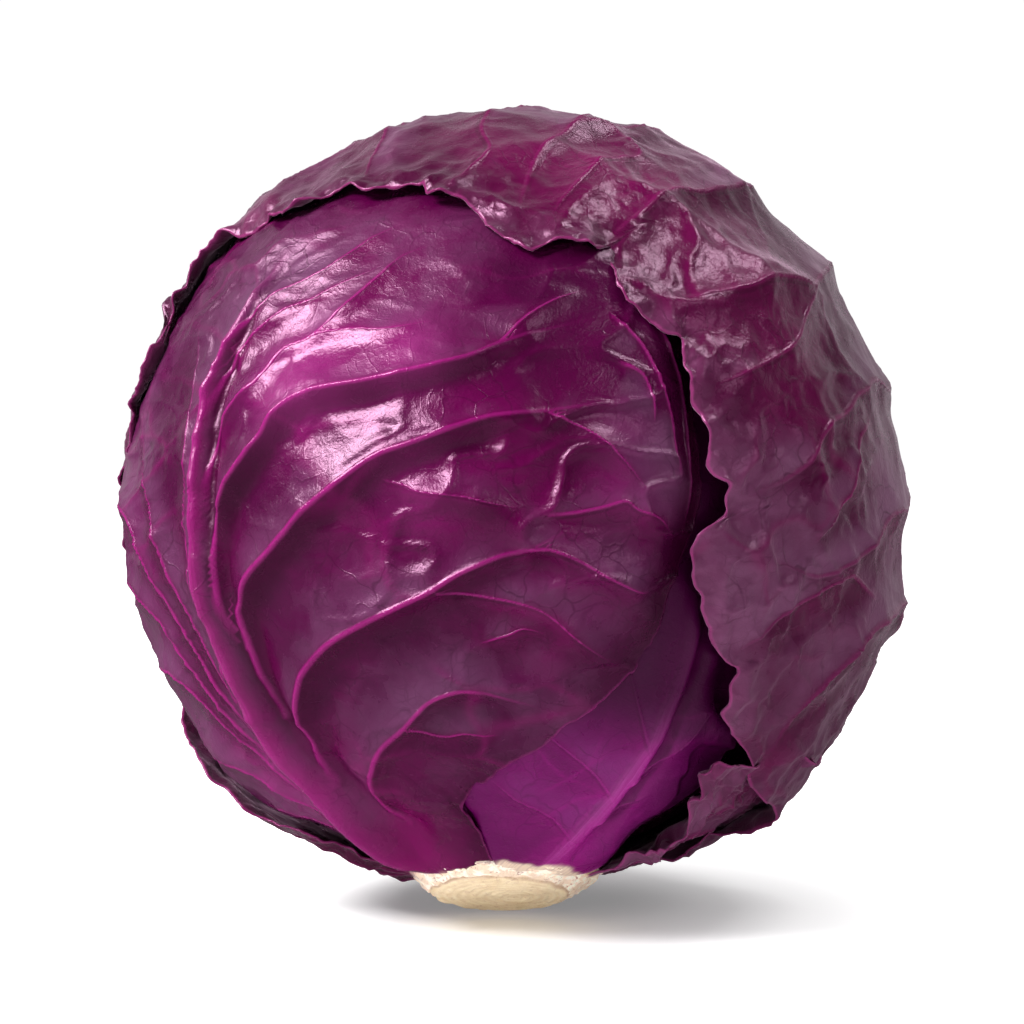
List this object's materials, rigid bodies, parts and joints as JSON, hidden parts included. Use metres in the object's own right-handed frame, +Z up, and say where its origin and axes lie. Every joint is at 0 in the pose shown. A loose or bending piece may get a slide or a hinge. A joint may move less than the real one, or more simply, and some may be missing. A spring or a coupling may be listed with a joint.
{
  "type": "red cabbage head",
  "caption": "Head of red cabbage with overlapping veined outer leaves and a cut pale stalk, lying on the thick rib of its outermost leaf.",
  "frame": {"origin": "middle of the small flat spot that the head rests on, under the middle of the head", "axes": "+Z up; the cut stalk points down and towards -Y, leaning 22 degrees from straight down; +X to the right seen from the front"},
  "size_m": [0.1648, 0.1631, 0.17],
  "materials": {
    "bloomed_leaf": "dark purple leaf under a pale matt bloom of wax, with magenta veins",
    "glossy_leaf": "satin wine-purple leaf with raised pink-magenta veins",
    "bright_leaf": "satin bright purple young leaf with a pale lilac rib",
    "inner_leaf": "satin deep purple leaf",
    "cut_stalk": "matt moist fibrous cut, cream with tan rings"
  },
  "bodies": {
    "root": {"crown_leaf": "bloomed_leaf", "lower_left_leaf": "bloomed_leaf", "lower_right_leaf": "bloomed_leaf", "front_leaf": "glossy_leaf", "right_leaf": "bright_leaf", "inner_right_leaf": "inner_leaf", "inner_back_leaf": "inner_leaf", "heart": "inner_leaf", "stalk": "cut_stalk"}
  },
  "joints": []
}
